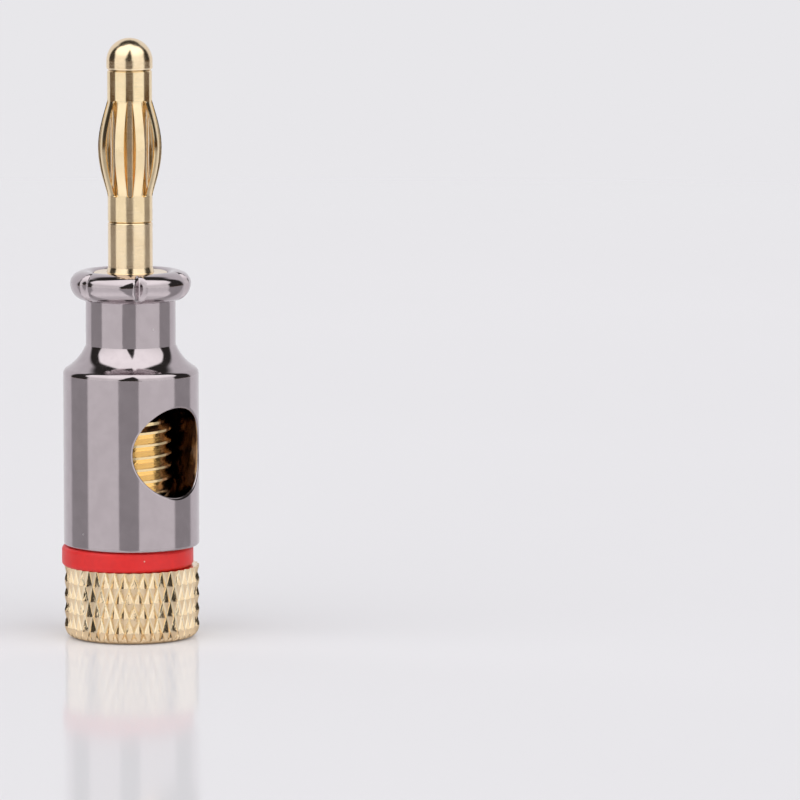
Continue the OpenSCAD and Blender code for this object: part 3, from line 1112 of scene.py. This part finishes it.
class PLUG_OT_ring(bpy.types.Operator):
    """Turn the loose colour ring, a little off the axis as it lies on the stem"""

    bl_idname = "plug.ring"
    bl_label = "Colour ring"

    def execute(self, context):
        s = context.scene.plug.ring
        mesh = turned_mesh("ring_moulded", self.outline(s))
        low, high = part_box("colour_ring")
        centre = (low + high) / 2
        mesh.transform(Matrix.Translation((centre.x, centre.y, 0)))
        obj = add_object("ring_moulded", mesh)
        shade(mesh, red_plastic(s))
        seat(obj, "ring", "colour_ring")
        return {"FINISHED"}

    def outline(self, s):
        """Half section of the ring, from the bore's front edge down and round the outside"""
        outer_r, bore_r, edge = s.outer_d / 2, s.bore_d / 2, s.edge
        return [
            *lines((bore_r, s.front), (bore_r, s.rear), (outer_r - edge, s.rear)),
            bend((outer_r - edge, s.rear + edge), edge, -QUARTER, 0, 10),
            line((outer_r, s.rear + edge), (outer_r, s.front - edge)),
            bend((outer_r - edge, s.front - edge), edge, 0, QUARTER, 10),
            line((outer_r - edge, s.front), (bore_r, s.front)),
        ]


class PLUG_OT_screw(bpy.types.Operator):
    """Make the tail screw: diamond-knurled head, threaded stem and wire bore"""

    bl_idname = "plug.screw"
    bl_label = "Tail screw"

    # Flat on top of a diamond, as a share of its half width, and the share of the knurl's depth
    # below which its grooves are painted paler, as painted light against their inter-reflected shade
    land = 0.08
    groove_light_share = 0.82

    def execute(self, context):
        s = context.scene.plug.screw
        groove_light_r = s.head_d / 2 - self.groove_light_share * s.knurl_depth
        zones = [
            # Painted light: a paler gold in the knurl's grooves
            (s.groove_light, groove_light_r, s.head_round, s.head_h),
            (s.stem, s.stem_d / 2 + MM, s.head_h, s.front),
        ]
        material = plated_metal(
            "knurled_gold",
            s,
            roughness=0.14,
            spread=0.06,
            marks=24000.0,
            marks_depth=0.12,
            dust_share=0.002,
            zones=zones,
            pits=6.0,
        )
        obj = add_object("screw_knurled", turned_mesh("screw_knurled", self.outline(s)))
        take_in(obj, self.knurl(s, material))
        bridge_rings(obj, s.knurl_end)
        bridge_rings(obj, s.head_h)
        start = thread_start(s)
        turns = (s.front - s.stem_chamfer / 2 - start) / s.pitch
        root_r = s.stem_d / 2 - s.thread_h
        take_in(obj, grow_thread("thread", s, root_r, start, turns, 1.0, material))
        shade(obj.data, material)
        seat(obj, "screw", "tail_screw")
        return {"FINISHED"}

    def outline(self, s):
        """Half section inside the knurl: front face, stem, wire bore and rear face, open at the head"""
        bore_r, root_r = s.bore_d / 2, s.stem_d / 2 - s.thread_h
        face_r = s.head_d / 2 - 1.5 * s.knurl_depth
        # The corner stays a little inside the knurl that runs out on it
        rear_r = s.head_d / 2 - s.knurl_depth / 24 - s.head_round
        knurl_end = math.asin(s.knurl_end / s.head_round - 1)
        # The root is lower than the crest, so only a third of the chamfer shows on it
        chamfer = s.stem_chamfer / 3
        return [
            *lines(
                (face_r, s.head_h),
                (root_r, s.head_h),
                (root_r, s.front - chamfer),
                (root_r - chamfer, s.front),
                (bore_r, s.front),
                (bore_r, s.bore_mouth),
                (bore_r + s.bore_mouth, 0),
                (rear_r, 0),
            ),
            bend((rear_r, s.head_round), s.head_round, -QUARTER, knurl_end),
        ]

    def knurl(self, s, material):
        """The knurled side of the head, open at both ends"""
        values = {
            "Count": s.knurl_count,
            "Rows": s.knurl_rows,
            "First row": s.knurl_first,
            "Row step": (s.head_h - s.knurl_first) / s.knurl_rows,
            "Head radius": s.head_d / 2,
            "Head height": s.head_h,
            "End": s.knurl_end,
            "Corner": s.head_round,
            "Softness": s.corner_soft,
            "Depth": s.knurl_depth,
            "Wear": s.knurl_wear,
            "Land": self.land,
            "Weld": WELD,
            "Material": material,
        }
        return grow("knurl", knurl_tree(), values)


class PLUG_OT_studio(bpy.types.Operator):
    """Lay the pale floor, hang the light tent and set up the camera"""

    bl_idname = "plug.studio"
    bl_label = "Floor, light tent and camera"

    # Focal length in pixels of an 800-pixel frame, and where the foot of the plug's axis lies in it
    frame_px = 800.0
    focal_px = 7040.0
    foot_px = (132.2, 635.4)

    # Distances from the plug's foot between which the floor changes: where it is mirrored it gets a painted
    # shade towards the foot, and it fades into the backdrop where it is seen and where it is mirrored
    foot_shade = (0.035, 0.014)
    seen_fade = (0.16, 0.5)
    mirrored_fade = (0.18, 0.65)

    def execute(self, context):
        s = context.scene.plug.studio
        context.scene.view_settings.view_transform = "Standard"
        self.lay_floor(s)
        self.hang_tent(context.scene, s)
        self.set_camera(context.scene, s)
        return {"FINISHED"}

    def lay_floor(self, s):
        """A round glossy pale floor that fades into the backdrop"""
        work = bmesh.new()
        bmesh.ops.create_circle(work, cap_ends=True, segments=64, radius=s.floor_r)
        floor = add_object("floor", finish_mesh(work, "floor"))
        material = bpy.data.materials.new("pale_floor")
        sheet = self.empty_tree(material)
        place = sheet.add("ShaderNodeTexCoord", out="Object")
        away = sheet.add("ShaderNodeVectorMath", [place], out="Value", operation="LENGTH")
        path = sheet.add("ShaderNodeLightPath")
        seen, mirrored = path["Is Camera Ray"], path["Is Glossy Ray"]
        mottle = sheet.noise(place, 12.0, Detail=3.0)
        tone = sheet.blend(mottle, (*[0.97 * c for c in s.floor], 1), (*s.floor, 1))
        # Painted shade: where the floor is mirrored, its glow and gloss drop towards the plug's foot
        painted_shade = sheet.smooth(away, *self.foot_shade) * mirrored
        glow = sheet.add("ShaderNodeEmission", {"Color": tone, "Strength": 0.19 - 0.03 * seen - 0.17 * painted_shade})
        lit = sheet.add("ShaderNodeAddShader", [sheet.add("ShaderNodeBsdfDiffuse", {"Color": tone}), glow])
        gloss = sheet.add("ShaderNodeBsdfGlossy", {"Color": (1, 1, 1, 1), "Roughness": 0.09})
        surface = sheet.add("ShaderNodeMixShader", [0.5 - 0.33 * seen - 0.33 * painted_shade, lit, gloss])
        seen_far = sheet.smooth(away, *self.seen_fade) * seen
        mirrored_far = sheet.smooth(away, *self.mirrored_fade) * mirrored
        far = sheet.math("MAXIMUM", mirrored_far, seen_far)
        clear = sheet.add("ShaderNodeBsdfTransparent")
        self.end_tree(sheet, "Material", sheet.add("ShaderNodeMixShader", [far, surface, clear]))
        floor.data.materials.append(material)

    def empty_tree(self, owner):
        """The sheet of a material's or world's emptied node tree"""
        owner.use_nodes = True
        owner.node_tree.nodes.clear()
        return Sheet(owner.node_tree)

    def end_tree(self, sheet, kind, shader):
        """Feeds a shader to the output of a material or world"""
        output = sheet.tree.nodes.new(f"ShaderNodeOutput{kind}")
        sheet.feed(output.inputs["Surface"], shader)

    def hang_tent(self, scene, s):
        """Two bright panels that lean together over the camera, dark gaps beside them and a backdrop"""
        scene.world = bpy.data.worlds.new("light_tent")
        sheet = self.empty_tree(scene.world)
        look = sheet.add("ShaderNodeTexCoord", out="Generated")
        towards = (math.sin(s.azimuth), -math.cos(s.azimuth), 0)
        sideways = (math.cos(s.azimuth), math.sin(s.azimuth), 0)
        front, side = (
            sheet.add("ShaderNodeVectorMath", [look, way], out="Value", operation="DOT_PRODUCT")
            for way in (towards, sideways)
        )
        up = sheet.split(look)["Z"]
        # The tent leans: just above eye level its middle lies to one side, overhead to the other
        foot = sheet.smooth(up, 0, 0.05) * sheet.smooth(up, 0.5, 0.2)
        lean = (foot - sheet.smooth(up, 0.6, 0.9)) * s.lean
        side = sheet.math("ABSOLUTE", lean * front + side)
        # The panels end about 80 degrees to the side, reach further back halfway up
        # and end close behind the zenith
        bulge = sheet.smooth(up, 0.3, 0.6) - 0.6 * sheet.smooth(up, 0.75, 0.97)
        panels = sheet.smooth(front + 0.25 * bulge - 0.17 * side, -0.02, 0.06)
        # The slit between them is 18 degrees to each side at eye level and closes 62 degrees up
        half_slit = 0.325 * front - 0.173 * up
        beside = sheet.smooth(side - half_slit, -0.015, 0.03)
        # The backdrop starts 117 degrees round and reaches 50 degrees up
        behind = sheet.smooth(-0.52 * side - front, 0, 0.15)
        low = sheet.smooth(up, 0.82, 0.7)
        dark = sheet.blend(sheet.smooth(up, -0.03, 0.03), (*s.gap_low, 1), (*s.gap_high, 1))
        backed = sheet.blend(behind * low, dark, (*s.backdrop, 1))
        bright = s.panel + s.panel_rise * sheet.smooth(up, 0.3, 0.75)
        white = sheet.add("ShaderNodeCombineColor", [bright, bright, bright])
        lit = sheet.blend(panels * beside, backed, white)
        tent = sheet.add("ShaderNodeBackground", {"Color": lit, "Strength": 1.0})
        pale = sheet.add("ShaderNodeBackground", {"Color": (*s.backdrop, 1), "Strength": 1.0})
        seen = sheet.add("ShaderNodeLightPath", out="Is Camera Ray")
        self.end_tree(sheet, "World", sheet.add("ShaderNodeMixShader", [seen, tent, pale]))

    def set_camera(self, scene, s):
        """A long lens at the photograph's angle, aimed so that the plug's foot falls on its pixel"""
        data = bpy.data.cameras.new("camera")
        data.sensor_width = 36.0
        data.lens = self.focal_px / self.frame_px * data.sensor_width
        data.clip_start = 0.01
        data.clip_end = 10.0
        camera = add_object("camera", data)
        camera.location = (s.distance * math.sin(s.azimuth), -s.distance * math.cos(s.azimuth), s.height)
        right = (self.foot_px[0] - self.frame_px / 2) / self.focal_px
        up = (self.frame_px / 2 - self.foot_px[1]) / self.focal_px
        size = math.sqrt(1 + right**2 + up**2)
        dip = math.atan2(s.height, s.distance)
        yaw = math.asin(-right / size / math.cos(dip))
        pitch = math.atan2(-math.sin(dip), math.cos(dip) * math.cos(yaw)) - math.atan2(up, 1)
        camera.rotation_euler = (QUARTER + pitch, 0, s.azimuth - yaw)
        scene.camera = camera


class PLUG_PT_sidebar(bpy.types.Panel):
    """Lists the plug's pieces and their sizes"""

    bl_idname = "PLUG_PT_sidebar"
    bl_label = "Banana plug"
    bl_space_type = "VIEW_3D"
    bl_region_type = "UI"
    bl_category = "Plug"

    def draw(self, context):
        for operator in OPERATORS:
            self.layout.operator(operator.bl_idname)
        for group in context.scene.plug.bl_rna.properties:
            if group.type == "POINTER" and group.identifier != "rna_type":
                box = self.layout.box()
                box.label(text=group.identifier.capitalize())
                sizes = getattr(context.scene.plug, group.identifier)
                for name in sizes.__annotations__:
                    box.prop(sizes, name)


OPERATORS = (PLUG_OT_studio, PLUG_OT_shell, PLUG_OT_pin, PLUG_OT_spring, PLUG_OT_ring, PLUG_OT_screw)
GROUPS = (ShellSizes, PinSizes, SpringSizes, RingSizes, ScrewSizes, StudioSizes, PlugSettings)
CLASSES = (*GROUPS, *OPERATORS, PLUG_PT_sidebar)


def register():
    for cls in CLASSES:
        bpy.utils.register_class(cls)
    bpy.types.Scene.plug = bpy.props.PointerProperty(type=PlugSettings)


def unregister():
    del bpy.types.Scene.plug
    for cls in reversed(CLASSES):
        bpy.utils.unregister_class(cls)


def main():
    register()
    for operator in OPERATORS:
        family, name = operator.bl_idname.split(".")
        getattr(getattr(bpy.ops, family), name)()


if __name__ == "__main__":
    main()
